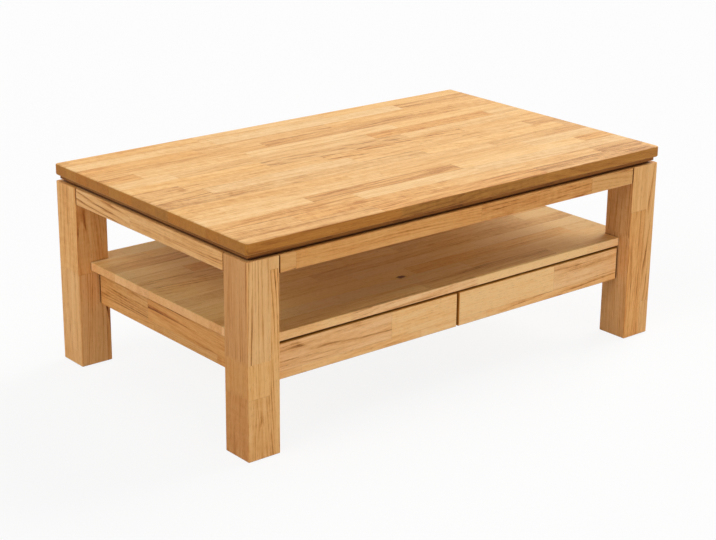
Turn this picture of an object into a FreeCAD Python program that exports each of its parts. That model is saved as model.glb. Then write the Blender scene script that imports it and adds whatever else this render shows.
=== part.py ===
import FreeCAD, Part
import os
import re
import Sketcher
from FreeCAD import Placement, Rotation, Vector

# Coffee table in solid wood: a slab top on four posts, with a shelf and two drawers under it.
# Millimetres, +Z up. The origin lies on the floor under the middle of the top. +X runs along the
# length of the table, and the drawers open to the front, towards -Y.

# Driving dimensions. Each one is a cell of the sheet, under its own name.
DIMENSIONS = {
    # table top
    "table_height": 450,
    "top_length": 1150,
    "top_depth": 700,
    "top_thickness": 25,
    "top_corner_round": 6,
    "top_edge_round": 3,
    "top_under_round": 4,
    "top_overhang": 1,
    # legs and floor glides
    "leg_side": 77,
    "leg_round": 2.5,
    "leg_end_chamfer": 1,
    "glide_diameter": 34,
    "glide_thickness": 3,
    "glide_recess": 1.5,
    # rails under the top, and the strips of the shadow gap
    "shadow_gap": 13,
    "spacer_setback": 8,
    "spacer_step_depth": 8,
    "spacer_step_height": 5,
    "rail_height": 37,
    "rail_thickness": 22,
    "rail_setback": 0.5,
    "rail_round": 3,
    # narrow steps that part the rails and end panels from the legs
    "quirk_width": 2.5,
    "quirk_depth": 5,
    # fixing blocks between the rails and the top
    "block_length": 60,
    "block_thickness": 24,
    "block_drop": 23,
    "block_chamfer": 6,
    "block_spread": 250,
    "block_screw_spread": 18,
    "block_screw_drop": 11,
    "block_screw_bite": 12,
    "block_slot_length": 12,
    "block_bore_depth": 14,
    "top_screw_bite": 15,
    # shelf
    "shelf_level": 239,
    "shelf_thickness": 19,
    "shelf_end_setback": 32,
    "shelf_side_setback": 34,
    "shelf_round": 1.5,
    # drawer case
    "panel_height": 80,
    "panel_round": 1.5,
    "end_panel_thickness": 25,
    "back_panel_thickness": 20,
    "back_panel_setback": 33,
    "partition_thickness": 22,
    "bumper_thickness": 2,
    "bumper_diameter": 6,
    "bumper_inset": 4,
    "bumper_spread": 22,
    # loose tenons and dowels
    "tenon_thickness": 10,
    "tenon_depth": 20,
    "rail_tenon_width": 22,
    "panel_tenon_width": 40,
    "partition_tenon_depth": 12,
    "dowel_diameter": 8,
    "dowel_in_shelf": 12,
    "dowel_in_panel": 18,
    "dowel_inset": 100,
    # drawer fronts
    "front_height": 76,
    "front_thickness": 20,
    "front_setback": 33,
    "front_round": 2,
    "front_gap_top": 4,
    "front_gap_side": 4,
    "front_gap_middle": 6,
    "grip_length": 140,
    "grip_height": 13,
    "grip_depth": 10,
    "grip_round": 8,
    # drawer boxes
    "box_lift": 8,
    "drawer_back_gap": 42,
    "side_height": 58,
    "side_thickness": 12,
    "drawer_back_thickness": 12,
    "tongue_depth": 8,
    "tongue_neck": 7,
    "tongue_tip": 10,
    "tail_count": 3,
    "pin_narrow": 5,
    "pin_wide": 9,
    "groove_lift": 8,
    "groove_depth": 6,
    "bottom_thickness": 6,
    # drawer runners
    "runner_width": 12.7,
    "runner_height": 35,
    "runner_wall": 1.2,
    "runner_lip": 3.4,
    "runner_front_gap": 3,
    "runner_tail": 47,
    "runner_screw_inset": 80,
    "runner_screw_stagger": 24,
    "cage_length": 120,
    "cage_wall": 0.8,
    "cage_standoff": 2.5,
    "ball_diameter": 4,
    "balls_per_row": 4,
    # screws
    "wood_screw_shank": 4,
    "wood_screw_head": 8,
    "wood_screw_head_height": 2.4,
    "runner_screw_shank": 3,
    "runner_screw_head": 6.5,
    "runner_screw_head_height": 1.6,
    "runner_screw_bite": 9,
    # clearances
    "running_clearance": 0.3,
    "joint_clearance": 0.1,
    "end_clearance": 1,
}

# Places and sizes that follow from the driving dimensions.
DERIVED = {
    # legs: outer faces, inner faces and top
    "frame_x": "top_length / 2 - top_overhang",
    "frame_y": "top_depth / 2 - top_overhang",
    "bay_x": "frame_x - leg_side",
    "bay_y": "frame_y - leg_side",
    "top_under": "table_height - top_thickness",
    "leg_top": "top_under - shadow_gap",
    "leg_foot": "glide_thickness - glide_recess",
    # rails and spacers
    "rail_under": "leg_top - rail_height",
    "rail_middle_z": "leg_top - rail_height / 2",
    "rail_outer_x": "frame_x - rail_setback",
    "rail_outer_y": "frame_y - rail_setback",
    "rail_inner_x": "rail_outer_x - rail_thickness",
    "rail_inner_y": "rail_outer_y - rail_thickness",
    "spacer_width": "top_overhang + rail_setback + rail_thickness - spacer_setback - running_clearance",
    "spacer_outer_x": "top_length / 2 - spacer_setback",
    "spacer_outer_y": "top_depth / 2 - spacer_setback",
    "spacer_inner_y": "spacer_outer_y - spacer_width",
    "block_height": "block_drop + shadow_gap",
    "block_under": "leg_top - block_drop",
    # shelf and drawer case
    "shelf_under": "shelf_level - shelf_thickness",
    "shelf_x": "frame_x - shelf_end_setback",
    "shelf_y": "frame_y - shelf_side_setback",
    "panel_under": "shelf_under - panel_height",
    "panel_middle_z": "shelf_under - panel_height / 2",
    "end_panel_middle": "bay_x + end_panel_thickness / 2",
    "back_panel_inner": "frame_y - back_panel_setback - back_panel_thickness",
    "back_panel_middle": "back_panel_inner + back_panel_thickness / 2",
    "partition_front": "front_back - bumper_thickness - running_clearance",
    # drawer fronts; front_back is their back face, measured from the middle towards the front
    "front_back": "frame_y - front_setback - front_thickness",
    "front_under": "shelf_under - front_gap_top - front_height",
    "front_width": "bay_x - front_gap_side - front_gap_middle / 2",
    "front_middle": "front_gap_middle / 2 + front_width / 2",
    # drawer boxes
    "drawer_bay": "bay_x - partition_thickness / 2",
    "drawer_middle": "partition_thickness / 2 + drawer_bay / 2",
    "box_width": "drawer_bay - 2 * runner_width",
    "box_inside": "box_width - 2 * side_thickness",
    "box_depth": "front_back + back_panel_inner - drawer_back_gap",
    "box_under": "front_under + box_lift",
    "tail_pitch": "side_height / tail_count",
    "tail_wide": "tail_pitch - pin_narrow",
    "tail_narrow": "tail_pitch - pin_wide",
    "groove_top": "groove_lift + bottom_thickness + 2 * joint_clearance",
    "groove_reach": "box_inside / 2 + groove_depth",
    "bottom_reach": "groove_depth - 2 * joint_clearance",
    # runners, measured in x from the wall that carries the channel
    "runner_length": "box_depth - runner_front_gap - runner_tail",
    "runner_middle_y": "runner_front_gap + runner_length / 2 - front_back",
    "runner_middle_z": "box_under + side_height / 2",
    "channel_depth": "runner_width - runner_wall",
    "race_z": "runner_height / 2 - runner_wall",
    "ball_z": "race_z - running_clearance - ball_diameter / 2",
    "slide_half": "ball_z - ball_diameter / 2 - running_clearance",
    "cage_back": "runner_wall + cage_standoff",
    "cage_mouth": "channel_depth - runner_wall - running_clearance",
    "cage_half": "ball_z + cage_wall / 2",
    "slide_back": "cage_back + cage_wall + running_clearance",
    "ball_x": "(cage_back + cage_wall + cage_mouth) / 2",
    "ball_pitch": "cage_length / balls_per_row",
}

SIDES = {"left": -1, "right": 1}
ENDS = {"front": -1, "back": 1}
NEAR = 0.001

doc = FreeCAD.newDocument("CoffeeTable")
sheet = doc.addObject("Spreadsheet::Sheet", "Size")
for row, (alias, number) in enumerate(DIMENSIONS.items(), 1):
    sheet.set("A%d" % row, alias)
    sheet.set("B%d" % row, str(number))
    sheet.setAlias("B%d" % row, alias)
doc.recompute()

pieces = {}
bores = {}


def formula(text):
    """Write a text of dimension names out as an expression on the sheet."""
    def written_out(match):
        word = match.group()
        if word in DERIVED:
            return "(" + formula(DERIVED[word]) + ")"
        return "Size." + word
    return re.sub(r"[a-z_]+", written_out, text)


def value(text):
    """The number that a text of dimension names comes to."""
    return float(sheet.evalExpression(formula(text)))


def bind(item, name, text):
    """Bind one property of an object to the sheet."""
    item.setExpression(name, formula(text))


def place(item, at, turn=None):
    """Put an object's own origin at a place that follows the sheet."""
    item.Placement = Placement(Vector(), turn or Rotation())
    for axis, text in zip("xyz", at):
        bind(item, "Placement.Base." + axis, text)
    return item


def signed(sign, text):
    """The text with its sign turned for the negative side."""
    return text if sign > 0 else "-(%s)" % text


def new_sketch(body, plane, lift="0"):
    """A sketch on one of the body's own origin planes, moved along the plane's normal."""
    sketch = body.newObject("Sketcher::SketchObject", "outline")
    support = [item for item in body.Origin.OriginFeatures if item.Role == plane]
    sketch.AttachmentSupport = [(support[0], "")]
    sketch.MapMode = "FlatFace"
    bind(sketch, "AttachmentOffset.Base.z", lift)
    return sketch


def dimension(sketch, kind, *place_and_value):
    """A sketch dimension, with its value bound to the sheet."""
    *reference, text = place_and_value
    number = sketch.addConstraint(Sketcher.Constraint(kind, *reference, value(text)))
    bind(sketch, "Constraints[%d]" % number, text)


def polygon(body, plane, corners, lift="0"):
    """A closed outline of straight lines, with every corner bound to the sheet."""
    sketch = new_sketch(body, plane, lift)
    points = [Vector(value(x), value(y), 0) for x, y in corners]
    for start, end in zip(points, points[1:] + points[:1]):
        sketch.addGeometry(Part.LineSegment(start, end))
    for index in range(len(corners)):
        following = (index + 1) % len(corners)
        sketch.addConstraint(Sketcher.Constraint("Coincident", index, 2, following, 1))
    for index, (x, y) in enumerate(corners):
        dimension(sketch, "DistanceX", -1, 1, index, 1, x)
        dimension(sketch, "DistanceY", -1, 1, index, 1, y)
    return sketch


def rectangle(body, plane, low, high, lift="0"):
    """A rectangular outline between two opposite corners."""
    corners = [low, (high[0], low[1]), high, (low[0], high[1])]
    return polygon(body, plane, corners, lift)


def slot(body, plane, width, length, lift="0"):
    """An outline with two straight sides and round ends, centred, its length along the sketch's y."""
    sketch = new_sketch(body, plane, lift)
    radius = value(width) / 2
    reach = value(length) / 2 - radius
    up = Vector(0, 0, 1)
    half_turn = 3.141592653589793
    top = Part.Circle(Vector(0, reach, 0), up, radius)
    low = Part.Circle(Vector(0, -reach, 0), up, radius)
    sketch.addGeometry(Part.ArcOfCircle(top, 0, half_turn))
    sketch.addGeometry(Part.LineSegment(Vector(-radius, reach, 0), Vector(-radius, -reach, 0)))
    sketch.addGeometry(Part.ArcOfCircle(low, half_turn, 2 * half_turn))
    sketch.addGeometry(Part.LineSegment(Vector(radius, -reach, 0), Vector(radius, reach, 0)))
    for index in range(4):
        sketch.addConstraint(Sketcher.Constraint("Tangent", index, 2, (index + 1) % 4, 1))
    sketch.addConstraint(Sketcher.Constraint("Equal", 0, 2))
    for arc, sign in ((0, 1), (2, -1)):
        sketch.addConstraint(Sketcher.Constraint("PointOnObject", arc, 3, -2))
        centre = signed(sign, "(%s) / 2 - (%s) / 2" % (length, width))
        dimension(sketch, "DistanceY", -1, 1, arc, 3, centre)
    dimension(sketch, "Radius", 0, "(%s) / 2" % width)
    return sketch


def new_body(label):
    """An empty body for the piece of that name."""
    body = doc.addObject("PartDesign::Body", label)
    pieces[label] = body
    return body


def pad(body, sketch, length, both_ways=False):
    """Thicken an outline, to one side or half to each side."""
    feature = body.newObject("PartDesign::Pad", "pad")
    feature.Profile = sketch
    feature.SideType = "Symmetric" if both_ways else "One side"
    bind(feature, "Length", length)
    doc.recompute()
    return feature


def pocket(body, sketch, length, forwards=False, both_ways=False):
    """Cut an outline into the body, against its sketch's normal unless forwards."""
    volume = body.Tip.Shape.Volume
    feature = body.newObject("PartDesign::Pocket", "pocket")
    feature.Profile = sketch
    feature.SideType = "Symmetric" if both_ways else "One side"
    feature.Reversed = forwards
    bind(feature, "Length", length)
    doc.recompute()
    if feature.Shape.Volume > volume - NEAR:
        raise ValueError("A pocket in %s cuts nothing" % body.Label)
    return feature


def repeat(body, feature, axis, length, count):
    """Repeat a feature along one of the body's own axes."""
    pattern = body.newObject("PartDesign::LinearPattern", "pattern")
    pattern.Originals = [feature]
    direction = [item for item in body.Origin.OriginFeatures if item.Role == axis]
    pattern.Direction = (direction[0], [""])
    bind(pattern, "Length", length)
    bind(pattern, "Occurrences", count)
    body.Tip = pattern
    doc.recompute()
    return pattern


def lies_at(edge, axis, place_text):
    """True where the whole edge lies at one place along an axis, in the body's own frame."""
    box = edge.BoundBox
    target = value(place_text)
    low = getattr(box, axis + "Min")
    high = getattr(box, axis + "Max")
    return abs(low - target) < NEAR and abs(high - target) < NEAR


def runs_along(edge, axis):
    """True where the edge is a straight line along an axis."""
    return [name for name in "XYZ" if getattr(edge.BoundBox, name + "Length") > NEAR] == [axis]


def dress(body, kind, setting, size, wanted):
    """Round or chamfer the edges of the body that a test picks."""
    base = body.Tip
    names = ["Edge%d" % n for n, edge in enumerate(base.Shape.Edges, 1) if wanted(edge)]
    feature = body.newObject("PartDesign::" + kind, kind.lower())
    feature.Base = (base, names)
    bind(feature, setting, size)
    doc.recompute()


def round_edges(body, radius, wanted):
    dress(body, "Fillet", "Radius", radius, wanted)


def chamfer_edges(body, size, wanted):
    dress(body, "Chamfer", "Size", size, wanted)


def board(label, size, at):
    """A plain board whose low corner stands at the given place."""
    body = new_body(label)
    pad(body, rectangle(body, "XY_Plane", ("0", "0"), size[:2]), size[2])
    return place(body, at)


def drill(label, tool):
    """Note that a tool cuts into the piece of that name."""
    bores.setdefault(label, []).append(tool)


def peg(diameter, length, at, turn=None):
    """A round peg or bore, from the given place along its own +Z."""
    cylinder = doc.addObject("Part::Cylinder", "peg")
    bind(cylinder, "Radius", "(%s) / 2" % diameter)
    bind(cylinder, "Height", length)
    return place(cylinder, at, turn)


def group(label, items):
    """One node that holds several separate solids."""
    compound = doc.addObject("Part::Compound", label)
    compound.Links = items
    pieces[label] = compound


def loose_tenon(axis, at, width, depth, into):
    """A flat round-edged tenon along X or Y, with the mortise that it fills in two pieces."""
    plane = {"X": "YZ_Plane", "Y": "XZ_Plane"}[axis]
    tenon = doc.addObject("PartDesign::Body", "tenon")
    pad(tenon, slot(tenon, plane, "tenon_thickness", width), "2 * %s" % depth, both_ways=True)
    mortise = doc.addObject("PartDesign::Body", "mortise")
    wider = "tenon_thickness + 2 * joint_clearance"
    taller = "%s + 2 * joint_clearance" % width
    longer = "2 * %s + 2 * end_clearance" % depth
    pad(mortise, slot(mortise, plane, wider, taller), longer, both_ways=True)
    place(mortise, at)
    for label in into:
        drill(label, mortise)
    return place(tenon, at)


def screw(kind, at, along, length, into):
    """A round-headed screw whose head sits at a place, with its shank along a direction."""
    head = "%s_screw_head / 2" % kind
    shank = "%s_screw_shank / 2" % kind
    height = "%s_screw_head_height" % kind
    body = doc.addObject("PartDesign::Body", "screw")
    corners = [("0", height), ("0", "-(%s)" % length), (shank, "-(%s)" % length),
               (shank, "0"), (head, "0"), (head, height)]
    sketch = polygon(body, "XZ_Plane", corners)
    feature = body.newObject("PartDesign::Revolution", "turned")
    feature.Profile = sketch
    feature.ReferenceAxis = (sketch, ["V_Axis"])
    feature.Angle = 360
    doc.recompute()
    turn = Rotation(Vector(0, 0, -1), Vector(*along))
    bore = peg("%s_screw_shank + 2 * joint_clearance" % kind, "%s + end_clearance" % length, at,
               Rotation(Vector(0, 0, 1), Vector(*along)))
    for label in into:
        drill(label, bore)
    return place(body, at, turn)


def table_top():
    body = board("table_top", ("top_length", "top_depth", "top_thickness"),
                 ("-top_length / 2", "-top_depth / 2", "top_under"))
    round_edges(body, "top_corner_round", lambda edge: runs_along(edge, "Z"))
    round_edges(body, "top_edge_round", lambda edge: lies_at(edge, "Z", "top_thickness"))
    round_edges(body, "top_under_round", lambda edge: lies_at(edge, "Z", "0"))


def legs_and_glides():
    """Four square posts, each with a round recess in its sole that seats a glide."""
    glides = []
    for side, x_sign in SIDES.items():
        for end, y_sign in ENDS.items():
            label = "leg_%s_%s" % (end, side)
            low_x = "bay_x" if x_sign > 0 else "-frame_x"
            low_y = "bay_y" if y_sign > 0 else "-frame_y"
            body = board(label, ("leg_side", "leg_side", "leg_top - leg_foot"),
                         (low_x, low_y, "leg_foot"))
            round_edges(body, "leg_round", lambda edge: runs_along(edge, "Z"))
            chamfer_edges(body, "leg_end_chamfer", lambda edge: lies_at(edge, "Z", "0"))
            chamfer_edges(body, "leg_end_chamfer",
                          lambda edge: lies_at(edge, "Z", "leg_top - leg_foot"))
            middle = (low_x + " + leg_side / 2", low_y + " + leg_side / 2", "0")
            glides.append(peg("glide_diameter", "glide_thickness", middle))
            drill(label, peg("glide_diameter + 2 * joint_clearance", "glide_thickness", middle))
    group("floor_glides", glides)


def quirks(body, length, thickness, height, outer, along):
    """Cut a narrow step into both ends of a board's outer face, which parts it from the legs."""
    near, far = ("0", "quirk_depth") if outer == "0" else (thickness + " - quirk_depth", thickness)
    for start, stop in (("0", "quirk_width"), (length + " - quirk_width", length)):
        low, high = (start, near), (stop, far)
        if along == "Y":
            low, high = low[::-1], high[::-1]
        pocket(body, rectangle(body, "XY_Plane", low, high), height, forwards=True)


def rails():
    """Four rails under the top. Their outer arrises are rounded, also at the ends, beside the legs."""
    tenons = []
    for end, sign in ENDS.items():
        label = "rail_" + end
        low_y = "rail_inner_y" if sign > 0 else "-rail_outer_y"
        outer = "rail_thickness" if sign > 0 else "0"
        body = board(label, ("2 * bay_x", "rail_thickness", "rail_height"),
                     ("-bay_x", low_y, "rail_under"))
        quirks(body, "2 * bay_x", "rail_thickness", "rail_height", outer, "X")
        round_edges(body, "rail_round", lambda edge: lies_at(edge, "Y", outer))
        for side, x_sign in SIDES.items():
            at = (signed(x_sign, "bay_x"), low_y + " + rail_thickness / 2", "rail_middle_z")
            into = (label, "leg_%s_%s" % (end, side))
            tenons.append(loose_tenon("X", at, "rail_tenon_width", "tenon_depth", into))
    for side, sign in SIDES.items():
        label = "rail_" + side
        low_x = "rail_inner_x" if sign > 0 else "-rail_outer_x"
        outer = "rail_thickness" if sign > 0 else "0"
        body = board(label, ("rail_thickness", "2 * bay_y", "rail_height"),
                     (low_x, "-bay_y", "rail_under"))
        quirks(body, "2 * bay_y", "rail_thickness", "rail_height", outer, "Y")
        round_edges(body, "rail_round", lambda edge: lies_at(edge, "X", outer))
        for end, y_sign in ENDS.items():
            at = (low_x + " + rail_thickness / 2", signed(y_sign, "bay_y"), "rail_middle_z")
            into = (label, "leg_%s_%s" % (end, side))
            tenons.append(loose_tenon("Y", at, "rail_tenon_width", "tenon_depth", into))
    group("rail_tenons", tenons)


def spacers():
    """Strips that hold the top off the rails and legs. A step all round them makes the dark line."""
    cheek = "spacer_width - spacer_step_depth"
    length = "2 * spacer_outer_x"
    for end, sign in ENDS.items():
        low_y = "spacer_inner_y" if sign > 0 else "-spacer_outer_y"
        body = board("spacer_" + end, (length, "spacer_width", "shadow_gap"),
                     ("-spacer_outer_x", low_y, "leg_top"))
        outer, inner = ("spacer_width", "0") if sign > 0 else ("0", "spacer_width")
        step = cheek if sign > 0 else "spacer_step_depth"
        near, far = "spacer_step_depth", length + " - spacer_step_depth"
        round_three_sides = [("0", inner), ("0", outer), (length, outer), (length, inner),
                             (far, inner), (far, step), (near, step), (near, inner)]
        pocket(body, polygon(body, "XY_Plane", round_three_sides), "spacer_step_height", forwards=True)
    length = "2 * spacer_inner_y"
    for side, sign in SIDES.items():
        low_x = "spacer_outer_x - spacer_width" if sign > 0 else "-spacer_outer_x"
        body = board("spacer_" + side, ("spacer_width", length, "shadow_gap"),
                     (low_x, "-spacer_inner_y", "leg_top"))
        near, far = (cheek, "spacer_width") if sign > 0 else ("0", "spacer_step_depth")
        step = rectangle(body, "XY_Plane", (near, "0"), (far, length))
        pocket(body, step, "spacer_step_height", forwards=True)


def fixing_block(rail, middle, out):
    """A block on the inside of a rail. Its slot lets the top swell and shrink across the grain."""
    body = doc.addObject("PartDesign::Body", "fixing_block")
    along_x = out[0] == 0
    size = ("block_length", "block_thickness") if along_x else ("block_thickness", "block_length")
    low = tuple("-%s / 2" % text for text in size)
    high = tuple("%s / 2" % text for text in size)
    pad(body, rectangle(body, "XY_Plane", low, high), "block_height")
    axis, index = ("Y", 1) if along_x else ("X", 0)
    inner = signed(-out[index], "block_thickness / 2")
    chamfer_edges(body, "block_chamfer",
                  lambda edge: lies_at(edge, axis, inner) and lies_at(edge, "Z", "0"))
    shank = "wood_screw_shank + 2 * end_clearance"
    head = "wood_screw_head + 2 * end_clearance"
    stretch = "block_slot_length - wood_screw_shank"
    pocket(body, slot(body, "XY_Plane", shank, "%s + %s" % (shank, stretch)), "block_height",
           forwards=True)
    pocket(body, slot(body, "XY_Plane", head, "%s + %s" % (head, stretch)), "block_bore_depth",
           forwards=True)
    place(body, (middle[0], middle[1], "block_under"))
    side_screws = []
    for sign in (-1, 1):
        shift = signed(sign, "block_screw_spread")
        seat = list(middle) + ["leg_top - block_screw_drop"]
        seat[1 - index] += " + " + shift
        seat[index] += " + " + inner
        length = "block_thickness + block_screw_bite"
        side_screws.append(screw("wood", seat, out + (0,), length, (rail, body.Name)))
    seat = (middle[0], middle[1], "block_under + block_bore_depth")
    length = "block_height - block_bore_depth + top_screw_bite"
    top_screw = screw("wood", seat, (0, 0, 1), length, ("table_top",))
    return drilled(body, body.Name), side_screws, top_screw


def fixing_blocks():
    """Two blocks on each long rail and one on each short rail, with their screws."""
    seats = []
    for end, sign in ENDS.items():
        y = signed(sign, "rail_inner_y - block_thickness / 2")
        for x_sign in SIDES.values():
            seats.append(("rail_" + end, (signed(x_sign, "block_spread"), y), (0, sign)))
    for side, sign in SIDES.items():
        x = signed(sign, "rail_inner_x - block_thickness / 2")
        seats.append(("rail_" + side, (x, "0"), (sign, 0)))
    blocks = []
    side_screws = []
    top_screws = []
    for rail, middle, out in seats:
        block, across, upward = fixing_block(rail, middle, out)
        blocks.append(block)
        side_screws += across
        top_screws.append(upward)
    group("fixing_blocks", blocks)
    group("block_screws", side_screws)
    group("top_screws", top_screws)


def shelf():
    """The shelf, with a notch round each leg."""
    notch_x = "bay_x - running_clearance"
    notch_y = "bay_y - running_clearance"
    corner = [(notch_x, "shelf_y"), (notch_x, notch_y), ("shelf_x", notch_y)]
    corners = []
    for x_sign, y_sign in ((1, 1), (1, -1), (-1, -1), (-1, 1)):
        turned = corner if x_sign == y_sign else corner[::-1]
        corners += [(signed(x_sign, x), signed(y_sign, y)) for x, y in turned]
    body = new_body("shelf")
    pad(body, polygon(body, "XY_Plane", corners), "shelf_thickness")

    def outer_arris(edge):
        """Long edges of the shelf's four outer faces."""
        outer_x = [lies_at(edge, "X", signed(sign, "shelf_x")) for sign in (-1, 1)]
        outer_y = [lies_at(edge, "Y", signed(sign, "shelf_y")) for sign in (-1, 1)]
        return any(outer_x + outer_y) and not runs_along(edge, "Z")

    round_edges(body, "shelf_round", outer_arris)
    place(body, ("0", "0", "shelf_under"))


def drawer_case():
    """End panels, back panel and partition under the shelf, with their tenons and dowels."""
    tenons = []
    dowels = []

    def dowel(x, y, label):
        """An upright dowel that holds the shelf on a panel."""
        length = "dowel_in_shelf + dowel_in_panel"
        dowels.append(peg("dowel_diameter", length, (x, y, "shelf_under - dowel_in_panel")))
        bore = peg("dowel_diameter + 2 * joint_clearance", length + " + 2 * end_clearance",
                   (x, y, "shelf_under - dowel_in_panel - end_clearance"))
        drill(label, bore)
        drill("shelf", bore)

    for side, sign in SIDES.items():
        label = "end_panel_" + side
        low_x = "bay_x" if sign > 0 else "-bay_x - end_panel_thickness"
        body = board(label, ("end_panel_thickness", "2 * bay_y", "panel_height"),
                     (low_x, "-bay_y", "panel_under"))
        outer = "end_panel_thickness" if sign > 0 else "0"
        quirks(body, "2 * bay_y", "end_panel_thickness", "panel_height", outer, "Y")

        def arris(edge):
            """Lower edges of both faces, and the upright edges of the outer face."""
            low = [lies_at(edge, "Z", "0") and lies_at(edge, "X", face)
                   for face in ("0", "end_panel_thickness")]
            return any(low) or (lies_at(edge, "X", outer) and runs_along(edge, "Z"))

        round_edges(body, "panel_round", arris)
        middle = signed(sign, "end_panel_middle")
        for end, y_sign in ENDS.items():
            at = (middle, signed(y_sign, "bay_y"), "panel_middle_z")
            into = (label, "leg_%s_%s" % (end, side))
            tenons.append(loose_tenon("Y", at, "panel_tenon_width", "tenon_depth", into))
            dowel(middle, signed(y_sign, "bay_y - dowel_inset"), label)

    body = board("back_panel", ("2 * bay_x", "back_panel_thickness", "panel_height"),
                 ("-bay_x", "back_panel_inner", "panel_under"))
    round_edges(body, "panel_round",
                lambda edge: lies_at(edge, "Z", "0") and runs_along(edge, "X"))
    for side, sign in SIDES.items():
        at = (signed(sign, "bay_x"), "back_panel_middle", "panel_middle_z")
        into = ("back_panel", "leg_back_" + side)
        tenons.append(loose_tenon("X", at, "panel_tenon_width", "tenon_depth", into))
        dowel(signed(sign, "bay_x - dowel_inset"), "back_panel_middle", "back_panel")

    length = "partition_front + back_panel_inner"
    board("centre_partition", ("partition_thickness", length, "panel_height"),
          ("-partition_thickness / 2", "-partition_front", "panel_under"))
    at = ("0", "back_panel_inner", "panel_middle_z")
    into = ("centre_partition", "back_panel")
    tenons.append(loose_tenon("Y", at, "panel_tenon_width", "partition_tenon_depth", into))
    for y_sign in ENDS.values():
        dowel("0", signed(y_sign, "bay_y - dowel_inset"), "centre_partition")
    group("panel_tenons", tenons)
    group("shelf_dowels", dowels)

    bumpers = []
    for x_sign in SIDES.values():
        for z_sign in (-1, 1):
            at = (signed(x_sign, "partition_thickness / 2 - bumper_inset"), "-partition_front",
                  "panel_middle_z + " + signed(z_sign, "bumper_spread"))
            turn = Rotation(Vector(0, 0, 1), Vector(0, -1, 0))
            bumpers.append(peg("bumper_diameter", "bumper_thickness", at, turn))
    group("drawer_bumpers", bumpers)


def drawer_front(side, sign):
    """A front with dovetail grooves for the sides, a groove for the bottom and a finger grip."""
    body = new_body("drawer_%s_front" % side)
    low = ("-front_width / 2", "-front_thickness")
    high = ("front_width / 2", "0")
    pad(body, rectangle(body, "XY_Plane", low, high), "front_height")
    round_edges(body, "front_round", lambda edge: lies_at(edge, "Y", "-front_thickness"))
    offset = signed(sign, "drawer_middle - front_middle")
    neck = "tongue_neck / 2 + joint_clearance"
    tip = "tongue_tip / 2 + joint_clearance"
    depth = "-tongue_depth - joint_clearance"
    for hand in (-1, 1):
        middle = "%s + %s" % (offset, signed(hand, "box_width / 2 - side_thickness / 2"))
        corners = [("%s - (%s)" % (middle, neck), "0"), ("%s - (%s)" % (middle, tip), depth),
                   ("%s + %s" % (middle, tip), depth), ("%s + %s" % (middle, neck), "0")]
        pocket(body, polygon(body, "XY_Plane", corners), "box_lift + side_height + joint_clearance",
               forwards=True)
    low = ("%s - groove_reach" % offset, "box_lift + groove_lift")
    high = ("%s + groove_reach" % offset, "box_lift + groove_top")
    pocket(body, rectangle(body, "XZ_Plane", low, high), "groove_depth", forwards=True)
    low = ("-grip_length / 2", "0")
    high = ("grip_length / 2", "grip_height")
    pocket(body, rectangle(body, "XZ_Plane", low, high), "grip_depth", forwards=True)
    round_edges(body, "grip_round",
                lambda edge: lies_at(edge, "Z", "grip_height") and runs_along(edge, "Y"))
    place(body, (signed(sign, "front_middle"), "-front_back", "front_under"))


def drawer_side(label, x, hand):
    """A side with a sliding dovetail tongue at the front and dovetails at the back.

    Its inner face, with the groove for the bottom, looks towards +x for hand 1 and -x for -1.
    """
    body = new_body(label)
    half = "side_thickness / 2"
    neck = "tongue_neck / 2"
    tip = "tongue_tip / 2"
    corners = [("-" + half, "0"), ("-" + neck, "0"), ("-" + tip, "-tongue_depth"),
               (tip, "-tongue_depth"), (neck, "0"), (half, "0"),
               (half, "box_depth"), ("-" + half, "box_depth")]
    pad(body, polygon(body, "XY_Plane", corners), "side_height")
    shoulder = "box_depth - drawer_back_thickness"
    narrow = "pin_narrow / 2 + joint_clearance"
    wide = "pin_wide / 2 + joint_clearance"
    corners = [("box_depth", "-(%s)" % narrow), ("box_depth", narrow),
               (shoulder, wide), (shoulder, "-(%s)" % wide)]
    socket = pocket(body, polygon(body, "YZ_Plane", corners), "2 * side_thickness", both_ways=True)
    repeat(body, socket, "Z_Axis", "side_height", "tail_count + 1")
    low = ("-tongue_depth", "groove_lift")
    high = ("%s + groove_depth" % shoulder, "groove_top")
    groove = rectangle(body, "YZ_Plane", low, high, signed(hand, half))
    pocket(body, groove, "groove_depth", forwards=hand < 0)
    place(body, (x, "-front_back", "box_under"))


def drawer_back(side, sign):
    """The back of a drawer box, with sockets at both ends for the tails of the sides."""
    body = new_body("drawer_%s_back" % side)
    outline = rectangle(body, "XY_Plane", ("-box_width / 2", "0"),
                        ("box_width / 2", "drawer_back_thickness"))
    pad(body, outline, "side_height")
    middle = "tail_pitch / 2"
    rear = "drawer_back_thickness"
    corners = [("0", "%s - tail_narrow / 2" % middle), (rear, "%s - tail_wide / 2" % middle),
               (rear, "%s + tail_wide / 2" % middle), ("0", "%s + tail_narrow / 2" % middle)]
    for end in (-1, 1):
        sketch = polygon(body, "YZ_Plane", corners, signed(end, "box_width / 2"))
        socket = pocket(body, sketch, "side_thickness + joint_clearance", forwards=end < 0)
        repeat(body, socket, "Z_Axis", "side_height - tail_pitch", "tail_count")
    low = ("-box_inside / 2", "groove_lift")
    high = ("box_inside / 2", "groove_top")
    pocket(body, rectangle(body, "XZ_Plane", low, high), "groove_depth")
    inner_face = "box_depth - drawer_back_thickness - front_back"
    place(body, (signed(sign, "drawer_middle"), inner_face, "box_under"))


def drawer_bottom(side, sign):
    """The plywood bottom, held in the grooves of the other four pieces."""
    inside = "box_depth - drawer_back_thickness"
    size = ("box_inside + 2 * bottom_reach", inside + " + 2 * bottom_reach", "bottom_thickness")
    middle = signed(sign, "drawer_middle")
    board("drawer_%s_bottom" % side, size,
          (middle + " - box_inside / 2 - bottom_reach", "-front_back - bottom_reach",
           "box_under + groove_lift + joint_clearance"))


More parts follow.
